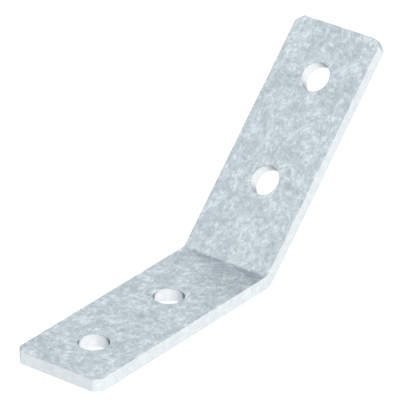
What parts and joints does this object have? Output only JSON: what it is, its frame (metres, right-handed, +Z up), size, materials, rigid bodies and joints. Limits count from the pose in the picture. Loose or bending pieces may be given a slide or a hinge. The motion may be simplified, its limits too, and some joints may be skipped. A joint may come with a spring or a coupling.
{
  "type": "angle bracket",
  "caption": "Flat galvanised steel bar bent through 45 degrees, with round bolt holes along both legs, for joining framing channels at an angle.",
  "frame": {"origin": "on the ground, under the middle of the bracket's length and width", "axes": "+X along the bracket towards its rising leg, +Y across the bar's width, +Z up, out of the lower leg's inside face"},
  "size_m": [0.1778, 0.04, 0.0774],
  "materials": {
    "galvanised_steel": "hot-dip galvanised, matt, with a fine frosty zinc spangle"
  },
  "bodies": {
    "root": {"bent_plate": "galvanised_steel"}
  },
  "joints": []
}
